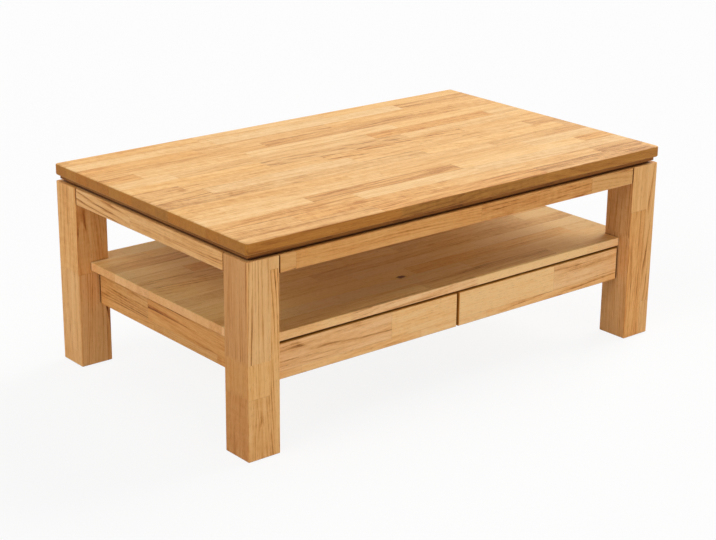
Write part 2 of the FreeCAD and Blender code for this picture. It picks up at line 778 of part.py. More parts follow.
def runner(side, name, wall, out, carrier, rider, inset):
    """One runner on a wall, with its ball cage, balls and screws. It reaches out along +x or -x."""
    turn = Rotation() if out > 0 else Rotation(Vector(0, 0, 1), 180)
    at = (wall, "runner_middle_y", "runner_middle_z")
    half = "runner_height / 2"
    mouth = "channel_depth - runner_wall"

    def mirrored(upper):
        """A profile that is the same above and below the runner's middle."""
        return upper + [(x, "-(%s)" % z) for x, z in reversed(upper)]

    channel = new_body("runner_channel_%s_%s" % (side, name))
    upper = [("runner_wall", "race_z"), (mouth, "race_z"), (mouth, half + " - runner_lip"),
             ("channel_depth", half + " - runner_lip"), ("channel_depth", half), ("0", half)]
    pad(channel, polygon(channel, "XZ_Plane", mirrored(upper)), "runner_length", both_ways=True)
    place(channel, at, turn)

    slide = new_body("runner_slide_%s_%s" % (side, name))
    inside = "slide_half - runner_wall"
    upper = [("channel_depth", inside), ("slide_back", inside),
             ("slide_back", "slide_half"), ("runner_width", "slide_half")]
    pad(slide, polygon(slide, "XZ_Plane", mirrored(upper)), "runner_length", both_ways=True)
    place(slide, at, turn)

    cage = new_body("ball_cage_%s_%s" % (side, name))
    inside = "cage_half - cage_wall"
    upper = [("cage_back + cage_wall", inside), ("cage_mouth", inside),
             ("cage_mouth", "cage_half"), ("cage_back", "cage_half")]
    pad(cage, polygon(cage, "XZ_Plane", mirrored(upper)), "cage_length", both_ways=True)
    hole = new_sketch(cage, "XY_Plane")
    first = "ball_pitch / 2 - cage_length / 2"
    radius = "ball_diameter / 2 + running_clearance"
    centre = Vector(value("ball_x"), value(first), 0)
    hole.addGeometry(Part.Circle(centre, Vector(0, 0, 1), value(radius)))
    dimension(hole, "DistanceX", -1, 1, 0, 3, "ball_x")
    dimension(hole, "DistanceY", -1, 1, 0, 3, first)
    dimension(hole, "Radius", 0, radius)
    ball_hole = pocket(cage, hole, "runner_height", both_ways=True)
    repeat(cage, ball_hole, "Y_Axis", "cage_length - ball_pitch", "balls_per_row")
    place(cage, at, turn)

    balls = []
    for number in range(round(value("balls_per_row"))):
        for z_sign in (-1, 1):
            ball = doc.addObject("Part::Sphere", "ball")
            bind(ball, "Radius", "ball_diameter / 2")
            balls.append(place(ball, (wall + " + " + signed(out, "ball_x"),
                                      "runner_middle_y + %s + %d * ball_pitch" % (first, number),
                                      "runner_middle_z + " + signed(z_sign, "ball_z"))))

    channel_screws = []
    slide_screws = []
    for y_sign in (-1, 1):
        y = "runner_middle_y + " + signed(y_sign, "runner_length / 2 - (%s)" % inset)
        seat = (wall + " + " + signed(out, "runner_wall"), y, "runner_middle_z")
        length = "runner_wall + runner_screw_bite"
        channel_screws.append(screw("runner", seat, (-out, 0, 0), length, (channel.Label, carrier)))
        seat = (wall + " + " + signed(out, "channel_depth"), y, "runner_middle_z")
        slide_screws.append(screw("runner", seat, (out, 0, 0), length, (slide.Label, rider)))
    return balls, channel_screws, slide_screws


def drawers():
    """Two drawers, each on a runner at its outer and its inner side."""
    channel_screws = []
    for side, sign in SIDES.items():
        drawer_front(side, sign)
        drawer_back(side, sign)
        drawer_bottom(side, sign)
        balls = []
        slide_screws = []
        stagger = "runner_screw_inset" if sign < 0 else "runner_screw_inset + runner_screw_stagger"
        walls = {"outer": (signed(sign, "bay_x"), -sign, "end_panel_" + side),
                 "inner": (signed(sign, "partition_thickness / 2"), sign, "centre_partition")}
        for name, (wall, out, carrier) in walls.items():
            label = "drawer_%s_%s_side" % (side, name)
            x = wall + " + " + signed(out, "runner_width + side_thickness / 2")
            drawer_side(label, x, out)
            parts = runner(side, name, wall, out, carrier, label, stagger)
            balls += parts[0]
            channel_screws += parts[1]
            slide_screws += parts[2]
        group("balls_" + side, balls)
        group("slide_screws_" + side, slide_screws)
    group("channel_screws", channel_screws)


def drilled(blank, label):
    """The blank with every mortise and bore that was noted for the piece cut out of it."""
    tools = doc.addObject("Part::Compound", "tools")
    tools.Links = bores[label]
    cut = doc.addObject("Part::Cut", "drilled")
    cut.Base = blank
    cut.Tool = tools
    return cut


def finish_pieces():
    """Cut the joints into their pieces and give every piece its own label."""
    for label, blank in list(pieces.items()):
        if label in bores:
            pieces[label] = drilled(blank, label)
            blank.Label = label + "_blank"
        pieces[label].Label = label
    doc.recompute()


def check_document():
    """Stop before anything is written if an object failed or a piece isn't sound."""
    for item in doc.Objects:
        if "Invalid" in item.State or "Error" in item.State:
            raise ValueError("%s failed: %s" % (item.Label, item.State))
    for label, item in pieces.items():
        if item.Label != label:
            raise ValueError("%s was labelled %s" % (label, item.Label))
        if item.Shape.isNull() or not item.Shape.isValid():
            raise ValueError("%s has no sound shape" % label)


table_top()
legs_and_glides()
rails()
spacers()
fixing_blocks()
shelf()
drawer_case()
drawers()
finish_pieces()
check_document()

os.makedirs("parts", exist_ok=True)
for label, item in pieces.items():
    item.Shape.exportStep("parts/%s.step" % label)
    print(label, "%d solids, %.0f mm3" % (len(item.Shape.Solids), item.Shape.Volume))
print(len(pieces), "pieces")
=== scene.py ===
"""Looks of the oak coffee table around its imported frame: finishes, camera, light and floor."""
import math

import bpy
from mathutils import Matrix, Vector


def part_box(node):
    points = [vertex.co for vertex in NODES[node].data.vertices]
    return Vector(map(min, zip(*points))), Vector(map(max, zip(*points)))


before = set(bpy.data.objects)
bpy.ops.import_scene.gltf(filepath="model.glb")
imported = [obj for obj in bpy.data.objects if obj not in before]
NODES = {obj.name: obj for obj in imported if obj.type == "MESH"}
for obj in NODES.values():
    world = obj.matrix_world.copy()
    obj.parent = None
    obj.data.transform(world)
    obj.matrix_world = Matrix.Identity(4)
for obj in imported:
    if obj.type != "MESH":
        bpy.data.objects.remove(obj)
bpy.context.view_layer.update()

# Camera: the image's width and the focal length in pixels, the sensor in mm, angles in degrees
IMAGE_WIDTH = 716
FOCAL_PIXELS = 1722
SENSOR = 36.0
CAMERA_PLACE = Vector((-2.350, -2.815, 1.457))
CAMERA_AZIMUTH = -39.68
CAMERA_ELEVATION = 19.20
CAMERA_ROLL = -0.60

# Light: level of the surrounding light, and each lamp's azimuth, elevation, angle across and level
WORLD_LEVEL = 0.13
FLOOR_SIZE = 60.0
FLOOR_GAP = 0.0003
FLOOR_WHITE = 0.80
SHADOW_SHARE = 0.12
LAMPS = (
    ("overhead_lamp", -20, 84, 30, 0.17),
    ("front_lamp", -10, 5, 20, 0.23),
    ("left_lamp", -85, 36, 40, 0.41),
    ("right_lamp", 97, 29, 46, 0.98),
)

# Oak: widths and lengths of staves, their finger joints and the dark lines between them, in metres
STAVE = 0.0437
STAVE_RUN = 0.42
STAVE_CHANCE = 0.8
BOARD_STAVE = 0.060
BOARD_RUN = 0.36
BOARD_SHIFT = 0.35
POST_RUN = 0.40
ROW_STEP = 17.31
FINGER_PITCH = 0.004
FINGER_LENGTH = 0.010
ROW_LINE = 0.0007
END_LINE = 0.0008

# Oak: where a stave lay in its tree, in metres, its lean as a slope, and its rings per metre
TREE_STEP = 40.0
PITH = 0.05
PITH_DEEPER = 0.08
PITH_ASIDE = 0.11
LEAN = 0.04
SWAY = 0.030
FEWEST_RINGS = 200.0
MORE_RINGS = 150.0

# Oak: tone of end grain, reach of the painted crevice shade in metres, the knot, and how square on a
# side counts
END_LEVEL = 0.48
CREVICE_SHADE_REACH = 0.007
KNOT = 0.008
KNOT_STRETCH = 1.7
KNOT_RAGGED = 0.008
KNOT_PLACE = (-0.073, -0.214)
FACING_FROM = 0.3
FACING_FULLY = 0.8
PLY = 0.0012


def paint(red, green, blue):
    """A colour for a shader socket from its screen values of 0 to 255."""
    def linear(level):
        level /= 255
        return level / 12.92 if level <= 0.04045 else ((level + 0.055) / 1.055) ** 2.4
    return linear(red), linear(green), linear(blue), 1.0


TOP_TONES = (
    (0.00, paint(244, 206, 154)),
    (0.30, paint(236, 193, 136)),
    (0.55, paint(224, 173, 112)),
    (0.80, paint(194, 137, 79)),
    (1.00, paint(143, 92, 46)),
)
# Darker tones of the top's oiled edges; on the drawer fronts the same tones are painted shade in the
# gaps around them
EDGE_AND_GAP_SHADE_TONES = (
    (0.00, paint(193, 138, 64)),
    (0.30, paint(183, 127, 55)),
    (0.55, paint(169, 113, 45)),
    (0.80, paint(144, 91, 33)),
    (1.00, paint(108, 63, 21)),
)
OAK_TONES = (
    (0.00, paint(239, 190, 130)),
    (0.30, paint(230, 175, 111)),
    (0.55, paint(215, 154, 89)),
    (0.80, paint(183, 120, 61)),
    (1.00, paint(130, 78, 36)),
)
DEEP_TONES = (
    (0.00, paint(226, 173, 111)),
    (0.30, paint(217, 160, 95)),
    (0.55, paint(203, 141, 76)),
    (0.80, paint(173, 110, 52)),
    (1.00, paint(123, 71, 31)),
)
FRONT_TONES = (
    (0.00, paint(252, 207, 152)),
    (0.30, paint(246, 193, 134)),
    (0.55, paint(232, 172, 109)),
    (0.80, paint(198, 136, 76)),
    (1.00, paint(146, 92, 45)),
)
SHELF_TONES = (
    (0.00, paint(240, 206, 145)),
    (0.30, paint(232, 193, 127)),
    (0.55, paint(219, 171, 105)),
    (0.80, paint(189, 136, 74)),
    (1.00, paint(138, 91, 42)),
)
# Painted shade: the spacer strips are much darker than their oak, to darken the shadow gap under the top
SHADED_STRIP_TONES = (
    (0.00, paint(146, 96, 36)),
    (0.50, paint(124, 76, 26)),
    (1.00, paint(90, 52, 16)),
)
RAW_OAK = paint(222, 196, 160)
# Multiplied on darker sides: partly a darker tone of the wood, partly painted shade
DARKER_TONE_AND_SHADE = paint(200, 168, 132)
WARM_OAK = paint(232, 172, 100)
PORE_BROWN = paint(150, 92, 46)
JOINT_BROWN = paint(150, 92, 44)
KNOT_BROWN = paint(92, 50, 18)
# Brown of the painted shade in narrow gaps and inner corners
CREVICE_SHADE_BROWN = paint(112, 62, 22)


class Shader:
    """A material's node tree, with short calls that add nodes and join them up."""

    def __init__(self, name):
        self.material = bpy.data.materials.new(name)
        self.material.use_nodes = True
        self.tree = self.material.node_tree
        self.surface = self.tree.nodes["Principled BSDF"]

    def put(self, value, socket):
        """Joins a node's output to a socket, or sets a plain value on it."""
        if isinstance(value, bpy.types.NodeSocket):
            self.tree.links.new(value, socket)
        else:
            socket.default_value = value

    def finish(self, **values):
        """Sets inputs of the surface by name, with underscores for spaces, and returns the material."""
        for name, value in values.items():
            self.put(value, self.surface.inputs[name.replace("_", " ")])
        return self.material

    def node(self, kind, **settings):
        made = self.tree.nodes.new("ShaderNode" + kind)
        for name, setting in settings.items():
            setattr(made, name, setting)
        return made

    def math(self, operation, *values):
        made = self.node("Math", operation=operation)
        for value, socket in zip(values, made.inputs):
            self.put(value, socket)
        return made.outputs[0]

    def total(self, *values):
        """The sum of several values."""
        result = values[0]
        for value in values[1:]:
            result = self.math("ADD", result, value)
        return result

    def scaled(self, value, factor, offset=0.0):
        return self.math("MULTIPLY_ADD", value, factor, offset)

    def step(self, value, low, high):
        """0 up to low, 1 from high, and smooth between them. Low may be the larger."""
        made = self.node("MapRange", interpolation_type="SMOOTHSTEP")
        for given, name in ((value, "Value"), (low, "From Min"), (high, "From Max")):
            self.put(given, made.inputs[name])
        return made.outputs[0]

    def vector(self, *parts):
        made = self.node("CombineXYZ")
        for part, socket in zip(parts, made.inputs):
            self.put(part, socket)
        return made.outputs[0]

    def split(self, vector):
        made = self.node("SeparateXYZ")
        self.put(vector, made.inputs[0])
        return dict(zip("XYZ", made.outputs))

    def colours(self, colour):
        """The three channels of a colour."""
        made = self.node("SeparateColor")
        self.put(colour, made.inputs[0])
        return list(made.outputs)

    def place(self, output="Object"):
        return self.node("TexCoord").outputs[output]

    def noise(self, vector, detail=2.0, roughness=0.5, scale=1.0):
        made = self.node("TexNoise")
        self.put(vector, made.inputs["Vector"])
        self.put(scale, made.inputs["Scale"])
        self.put(detail, made.inputs["Detail"])
        self.put(roughness, made.inputs["Roughness"])
        return made.outputs["Fac"]

    def chances(self, value):
        """Three random values that belong to a number."""
        made = self.node("TexWhiteNoise", noise_dimensions="1D")
        self.put(value, made.inputs["W"])
        return self.colours(made.outputs["Color"])

    def cells(self, value, feature, randomness):
        made = self.node("TexVoronoi", voronoi_dimensions="1D", feature=feature)
        self.put(value, made.inputs["W"])
        self.put(1.0, made.inputs["Scale"])
        self.put(randomness, made.inputs["Randomness"])
        return made.outputs

    def ramp(self, value, stops):
        made = self.node("ValToRGB")
        line = made.color_ramp.elements
        while len(line) < len(stops):
            line.new(1.0)
        for mark, (place, colour) in zip(line, stops):
            mark.position = place
            mark.color = colour
        self.put(value, made.inputs[0])
        return made.outputs[0]

    def mix(self, factor, first, second, mode="MIX"):
        made = self.node("Mix", data_type="RGBA", blend_type=mode)
        self.put(factor, made.inputs[0])
        self.put(first, made.inputs[6])
        self.put(second, made.inputs[7])
        return made.outputs[2]

    def bump(self, height, depth, strength=1.0):
        made = self.node("Bump")
        self.put(height, made.inputs["Height"])
        self.put(depth, made.inputs["Distance"])
        self.put(strength, made.inputs["Strength"])
        return made.outputs["Normal"]


def distance_from_knot(shade, along, across, knot):
    """How far a point lies from the knot, with a ragged edge and drawn out along the grain."""
    ahead = shade.scaled(shade.math("SUBTRACT", along, knot[0]), 1 / KNOT_STRETCH)
    aside = shade.math("SUBTRACT", across, knot[1])
    squares = [shade.math("MULTIPLY", part, part) for part in (ahead, aside)]
    ripple = shade.noise(shade.place(), 2.0, 0.6, 160.0)
    ragged = shade.scaled(ripple, KNOT_RAGGED, -KNOT_RAGGED / 2)
    return shade.total(shade.math("SQRT", shade.total(*squares)), ragged)


def oak(name, centre, grain, width, seed, stave=STAVE, run=STAVE_RUN, spread=0.5, tone=0.14,
        shift=0.0, tones=OAK_TONES, rim_tones=None, rings=0.66, raw=False, pale=(), deep=(),
        knot=None, crevice_shade=True):
    """Oiled oak glued up from staves. Grain is the axis of their length and width that of their rows.

    Rim tones are for the sides all round, and raw leaves the underside without oil. Pale and deep give
    the axis, the sign and the share of sides that are paler or darker; darker sides are partly a darker
    tone of the wood and partly painted shade. Knot is a place along and across the grain. Crevice shade
    paints shade into narrow gaps and inner corners, found by ambient occlusion.
    """
    shade = Shader(name)
    spot = shade.split(shade.place())
    normal = shade.split(shade.place("Normal"))
    depth = next(axis for axis in "XYZ" if axis not in grain + width)
    local = {axis: shade.math("SUBTRACT", spot[axis], centre["XYZ".index(axis)]) for axis in "XYZ"}
    along, across, into = local[grain], local[width], local[depth]

    def facing(axis, sign):
        return shade.step(normal[axis], FACING_FROM * sign, FACING_FULLY * sign)

    # Rows of staves, and staves of different lengths along each row
    lane = shade.scaled(across, 1 / stave, shift)
    row = shade.math("FLOOR", lane)
    slope = 2 * FINGER_LENGTH / FINGER_PITCH / run
    fingers = shade.scaled(shade.math("PINGPONG", into, FINGER_PITCH / 2), slope)
    travel = shade.total(shade.scaled(along, 1 / run, seed), shade.scaled(row, ROW_STEP), fingers)
    cell = shade.cells(travel, "F1", STAVE_CHANCE)
    first = shade.colours(cell["Color"])
    second = shade.chances(cell["W"])
    to_row = shade.scaled(shade.math("PINGPONG", lane, 0.5), stave)
    edges = shade.cells(travel, "DISTANCE_TO_EDGE", STAVE_CHANCE)
    to_end = shade.scaled(edges["Distance"], run)
    joint = shade.math("MAXIMUM", shade.step(to_row, ROW_LINE, 0.0), shade.step(to_end, END_LINE, 0.0))

    # Each stave has its own place in the tree, so grain starts and stops at its joints
    far = shade.scaled(first[1], TREE_STEP)
    wave = shade.noise(shade.vector(shade.total(shade.scaled(along, 1.8), far),
                                    shade.scaled(across, 14.0), shade.scaled(into, 14.0)), 2.0)
    sway = shade.scaled(wave, SWAY, -SWAY / 2)
    if knot:
        from_knot = distance_from_knot(shade, along, across, knot)
        sway = shade.total(sway, shade.scaled(shade.step(from_knot, 4 * KNOT, 0.0), 3 * KNOT))
    reach = shade.scaled(shade.math("SUBTRACT", travel, cell["W"]), run)
    side = shade.total(shade.scaled(second[0], PITH_ASIDE, -PITH_ASIDE / 2), across, sway,
                       shade.math("MULTIPLY", reach, shade.scaled(second[1], 2 * LEAN, -LEAN)))
    down = shade.total(shade.scaled(second[2], PITH_DEEPER, PITH), into,
                       shade.math("MULTIPLY", reach, shade.scaled(first[2], 2 * LEAN, -LEAN)))
    radius = shade.math("SQRT", shade.total(shade.math("MULTIPLY", side, side),
                                            shade.math("MULTIPLY", down, down)))
    count = shade.scaled(second[1], MORE_RINGS, FEWEST_RINGS)
    ring = shade.math("FRACT", shade.math("MULTIPLY", radius, count))
    early = shade.math("MULTIPLY", shade.step(ring, 0.60, 0.0), shade.step(ring, 0.0, 0.10))

    def fibres(length, thickness, detail):
        return shade.noise(shade.vector(shade.total(shade.scaled(along, 1 / length), far),
                                        shade.scaled(side, 1 / thickness),
                                        shade.scaled(down, 1 / thickness)), detail, 0.6)

    broad = fibres(0.30, 0.012, 2.0)
    streaks = fibres(0.11, 0.0040, 3.0)
    ticks = fibres(0.028, 0.0017, 2.0)
    pores = shade.step(fibres(0.012, 0.0006, 1.0), 0.56, 0.70)
    pores = shade.math("MULTIPLY", pores, shade.scaled(early, 0.75, 0.25))

    # Rays cross the grain as a faint shimmer, stronger in some staves
    rays = shade.noise(shade.vector(shade.total(shade.scaled(along, 90.0), far),
                                    shade.scaled(across, 45.0), shade.scaled(into, 45.0)), 2.0)
    rays = shade.math("MULTIPLY", shade.scaled(rays, 0.5, -0.25), second[1])

    # The tone of the stave, with its streaks and rings. End grain is more even
    figure = shade.math("MULTIPLY", early, shade.step(broad, 0.30, 0.70))
    figure = shade.math("MULTIPLY", figure, shade.scaled(second[2], rings, rings / 4))
    level = shade.total(shade.scaled(first[0], spread, tone), shade.scaled(broad, 0.60, -0.32),
                        shade.scaled(streaks, 0.90, -0.45), shade.scaled(ticks, 0.70, -0.35),
                        figure, rays)
    end_grain = shade.step(shade.math("ABSOLUTE", normal[grain]), 0.5, 0.9)
    even = shade.math("SUBTRACT", END_LEVEL, level)
    level = shade.total(level, shade.math("MULTIPLY", even, shade.scaled(end_grain, 0.55)))
    for axis, sign, share in pale:
        level = shade.total(level, shade.scaled(facing(axis, sign), -share))
    if knot:
        level = shade.total(level, shade.scaled(shade.step(from_knot, 3 * KNOT, 0.0), 0.35))
    colour = shade.ramp(level, tones)
    if rim_tones:
        rim = shade.math("MULTIPLY", shade.step(normal[depth], 0.75, 0.3),
                         shade.step(normal[depth], -0.99, -0.9))
        colour = shade.mix(rim, colour, shade.ramp(level, rim_tones))
    colour = shade.mix(shade.scaled(second[0], 0.30), colour, WARM_OAK, "SOFT_LIGHT")
    # Darker sides, partly a darker tone of the wood and partly painted shade
    for axis, sign, share in deep:
        colour = shade.mix(shade.scaled(facing(axis, sign), share), colour, DARKER_TONE_AND_SHADE, "MULTIPLY")
    colour = shade.mix(shade.scaled(pores, 0.55), colour, PORE_BROWN, "MULTIPLY")
    colour = shade.mix(shade.scaled(joint, 0.22), colour, JOINT_BROWN, "MULTIPLY")
    if raw:
        beneath = shade.step(normal[depth], -0.95, -0.995)
        colour = shade.mix(shade.scaled(beneath, 0.65), colour, RAW_OAK)
    if knot:
        heart = shade.step(from_knot, KNOT, 0.6 * KNOT)
        colour = shade.mix(shade.scaled(heart, 0.9), colour, KNOT_BROWN, "MULTIPLY")
    # Painted shade: ambient occlusion darkens narrow gaps and inner corners between parts
    if crevice_shade:
        crevice_occlusion = shade.node("AmbientOcclusion", samples=8)
        shade.put(CREVICE_SHADE_REACH, crevice_occlusion.inputs["Distance"])
        dark = shade.step(crevice_occlusion.outputs["AO"], 0.80, 0.25)
        colour = shade.mix(shade.scaled(dark, 0.85), colour, CREVICE_SHADE_BROWN, "MULTIPLY")

    height = shade.total(shade.scaled(pores, -0.6), shade.scaled(streaks, 0.35),
                         shade.scaled(joint, -0.5))
    gloss = shade.total(shade.scaled(streaks, 0.16, 0.48), shade.scaled(pores, 0.15))
    return shade.finish(Base_Color=colour, Roughness=gloss, Specular_IOR_Level=0.16,
                        Normal=shade.bump(height, 0.00025, 0.6))


def centre_of(node):
    low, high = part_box(node)
    return (low + high) / 2


def dress(node, material):
    """Gives a node of the frame its finish."""
    NODES[node].data.materials.clear()
    NODES[node].data.materials.append(material)


def wooden_pieces():
    """Oak for the boards and posts, each with its own staves."""
    # The top's left side is darker as painted shade
    dress("table_top", oak("oak_top", centre_of("table_top"), "X", "Y", 8.2, spread=0.44, tone=0.20,
                           tones=TOP_TONES, rim_tones=EDGE_AND_GAP_SHADE_TONES, rings=0.42, raw=True,
                           deep=(("X", -1, 0.06),)))
    dress("shelf", oak("oak_shelf", centre_of("shelf"), "X", "Y", 9.4, spread=0.62, tone=-0.08,
                       tones=SHELF_TONES, rim_tones=FRONT_TONES, rings=0.40, knot=KNOT_PLACE,
                       pale=(("Y", -1, 0.24),), deep=(("X", -1, 0.16), ("X", 1, 0.16))))

    # Each post's seed, width of staves, shift of rows, tone, and darker sides; these are painted shade,
    # except the front left post's left side, a darker tone of its wood
    posts = {
        "leg_front_left": (21.3, 0.060, -0.275, 0.10, (("X", -1, 0.60),)),
        "leg_front_right": (33.1, 0.048, -0.198, 0.20, (("X", -1, 0.05),)),
        "leg_back_left": (37.9, 0.090, -0.30, 0.17, (("X", -1, 0.08), ("Y", -1, 0.34))),
        "leg_back_right": (42.3, 0.050, 0.10, 0.18, ()),
    }
    for node, (seed, stave, shift, tone, deep) in posts.items():
        dress(node, oak("oak_" + node, centre_of(node), "Z", "X", seed, stave, POST_RUN, spread=0.24,
                        tone=tone, shift=shift, rings=0.62, deep=deep))

    # Each board's seed, axis of the grain, tone and tones
    boards = {
        "rail_front": (61.9, "X", 0.20, DEEP_TONES),
        "rail_back": (65.7, "X", 0.20, OAK_TONES),
        "rail_left": (70.7, "Y", 0.21, OAK_TONES),
        "rail_right": (75.7, "Y", 0.20, OAK_TONES),
        # The end panels are a little darker, partly as painted shade under the shelf's overhang
        "end_panel_left": (80.7, "Y", 0.26, DEEP_TONES),
        "end_panel_right": (85.7, "Y", 0.26, DEEP_TONES),
        "back_panel": (90.7, "X", 0.20, DEEP_TONES),
        "centre_partition": (95.7, "Y", 0.20, OAK_TONES),
    }
    for node, (seed, grain, tone, tones) in boards.items():
        dress(node, oak("oak_" + node, centre_of(node), grain, "Z", seed, BOARD_STAVE, BOARD_RUN,
                        spread=0.22, tone=tone, shift=BOARD_SHIFT, tones=tones))
    # Spacer strips in the shadow gap, in dark tones that are painted shade
    strips = {"spacer_front": "X", "spacer_back": "X", "spacer_left": "Y", "spacer_right": "Y"}
    for number, (node, grain) in enumerate(strips.items()):
        dress(node, oak("oak_" + node, centre_of(node), grain, "Z", 120.3 + number, 0.06, 0.8,
                        spread=0.3, tones=SHADED_STRIP_TONES))

    # Drawers, whose edges take the dark edge tones as painted shade in their gaps, in place of the
    # painted crevice shade, because they move
    for side, seed, tone in (("left", 105.7, 0.10), ("right", 101.7, 0.02)):
        node = "drawer_%s_front" % side
        dress(node, oak("oak_" + node, centre_of(node), "X", "Z", seed, BOARD_STAVE, BOARD_RUN,
                        spread=0.34, tone=tone, shift=BOARD_SHIFT, tones=FRONT_TONES,
                        rim_tones=EDGE_AND_GAP_SHADE_TONES, rings=0.40, crevice_shade=False))
        for part in ("outer_side", "inner_side", "back"):
            node = "drawer_%s_%s" % (side, part)
            grain = "X" if part == "back" else "Y"
            dress(node, oak("oak_" + node, centre_of(node), grain, "Z", 140.0, 0.09, 0.9, spread=0.35,
                            crevice_shade=False))


def beech():
    """Steamed beech: even, with short dark flecks along the grain."""
    shade = Shader("beech")
    spot = shade.split(shade.place())
    clouds = shade.noise(shade.place(), 3.0, 0.5, 22.0)
    flecks = shade.noise(shade.vector(shade.scaled(spot["X"], 320.0), shade.scaled(spot["Y"], 1100.0),
                                      shade.scaled(spot["Z"], 1100.0)), 1.0)
    flecks = shade.step(flecks, 0.58, 0.72)
    colour = shade.ramp(clouds, ((0.3, paint(226, 184, 140)), (0.7, paint(208, 160, 114))))
    colour = shade.mix(shade.scaled(flecks, 0.5), colour, paint(168, 116, 76), "MULTIPLY")
    return shade.finish(Base_Color=colour, Roughness=shade.scaled(clouds, 0.2, 0.5),
                        Specular_IOR_Level=0.3, Normal=shade.bump(flecks, -0.0001, 0.5))


def plywood():
    """Birch plywood: pale veneer with a soft figure and fine pores, and plies that show on its edges."""
    shade = Shader("birch_plywood")
    spot = shade.split(shade.place())
    normal = shade.split(shade.place("Normal"))

    def stretched(length, thickness, detail):
        return shade.noise(shade.vector(shade.scaled(spot["X"], 1 / length),
                                        shade.scaled(spot["Y"], 1 / thickness),
                                        shade.scaled(spot["Z"], 1 / thickness)), detail, 0.6)

    figure = stretched(0.35, 0.030, 4.0)
    rings = shade.math("FRACT", shade.scaled(stretched(0.5, 0.06, 1.0), 14.0))
    rings = shade.math("MULTIPLY", shade.step(rings, 0.0, 0.8), shade.step(rings, 1.0, 0.9))
    fibre = stretched(0.05, 0.0012, 3.0)
    pores = shade.step(stretched(0.008, 0.0005, 1.0), 0.58, 0.72)
    ply = shade.step(shade.math("PINGPONG", shade.scaled(spot["Z"], 1 / PLY), 1.0), 0.35, 0.65)
    on_edge = shade.step(shade.math("ABSOLUTE", normal["Z"]), 0.7, 0.4)
    level = shade.total(figure, shade.scaled(fibre, 0.5, -0.25), shade.scaled(rings, 0.14))
    colour = shade.ramp(level, ((0.25, paint(240, 217, 178)), (0.55, paint(228, 199, 152)),
                                (0.85, paint(208, 172, 122))))
    colour = shade.mix(shade.scaled(pores, 0.35), colour, paint(180, 138, 92), "MULTIPLY")
    colour = shade.mix(shade.math("MULTIPLY", ply, on_edge), colour, paint(168, 124, 82), "MULTIPLY")
    relief = shade.total(fibre, shade.scaled(pores, -0.8))
    return shade.finish(Base_Color=colour, Roughness=shade.scaled(fibre, 0.2, 0.45),
                        Specular_IOR_Level=0.25, Normal=shade.bump(relief, 0.0001, 0.4))


def steel(name, colour, dull, brush, scuffs):
    """Metal with drawing lines along Y, a mottled plating and scuffs that dull it."""
    shade = Shader(name)
    spot = shade.split(shade.place())
    lines = shade.noise(shade.vector(shade.scaled(spot["X"], brush), shade.scaled(spot["Y"], 18.0),
                                     shade.scaled(spot["Z"], brush)), 2.0, 0.6)
    plating = shade.noise(shade.place(), 3.0, 0.6, 260.0)
    worn = shade.step(shade.noise(shade.place(), 4.0, 0.7, 45.0), 0.5, 0.8)
    tint = shade.mix(shade.scaled(plating, 0.35), colour, paint(150, 152, 150), "MULTIPLY")
    tint = shade.mix(shade.scaled(worn, scuffs), tint, paint(120, 116, 108))
    gloss = shade.total(shade.scaled(lines, 0.18, dull - 0.09), shade.scaled(worn, 0.2))
    return shade.finish(Base_Color=tint, Metallic=1.0, Roughness=gloss,
                        Normal=shade.bump(lines, 0.00006, 0.35))


def moulded(name, colour, grain):
    """Moulded plastic with a fine spark-eroded grain and slight tone changes."""
    shade = Shader(name)
    speckle = shade.noise(shade.place(), 2.0, 0.5, grain)
    clouds = shade.noise(shade.place(), 2.0, 0.5, 30.0)
    tint = shade.mix(shade.scaled(clouds, 0.4), colour, paint(200, 200, 200), "MULTIPLY")
    return shade.finish(Base_Color=tint, Roughness=shade.scaled(speckle, 0.25, 0.35),
                        Normal=shade.bump(speckle, 0.00008, 0.5))


def clear_rubber():
    """Soft clear bumpers, a little cloudy."""
    shade = Shader("clear_rubber")
    clouds = shade.noise(shade.place(), 2.0, 0.5, 400.0)
    tint = shade.ramp(clouds, ((0.3, paint(238, 238, 234)), (0.7, paint(220, 221, 216))))
    return shade.finish(Base_Color=tint, Roughness=shade.scaled(clouds, 0.2, 0.2),
                        Transmission_Weight=0.7, IOR=1.42, Normal=shade.bump(clouds, 0.0001, 0.2))


def felt():
    """Pressed wool felt: a matt tangle of light and dark fibres."""
    shade = Shader("felt")
    swirl = shade.noise(shade.place(), 2.0, 0.5, 900.0)
    spot = shade.split(shade.place())
    tangled = shade.total(shade.scaled(spot["X"], 3200.0), shade.scaled(swirl, 9.0))
    fibre = shade.noise(shade.vector(tangled, shade.scaled(spot["Y"], 700.0),
                                     shade.scaled(spot["Z"], 2000.0)), 3.0, 0.7)
    tint = shade.ramp(fibre, ((0.3, paint(74, 62, 52)), (0.55, paint(104, 90, 76)),
                              (0.8, paint(142, 126, 108))))
    return shade.finish(Base_Color=tint, Roughness=0.95, Sheen_Weight=0.4, Specular_IOR_Level=0.1,
                        Normal=shade.bump(fibre, 0.0006, 0.9))


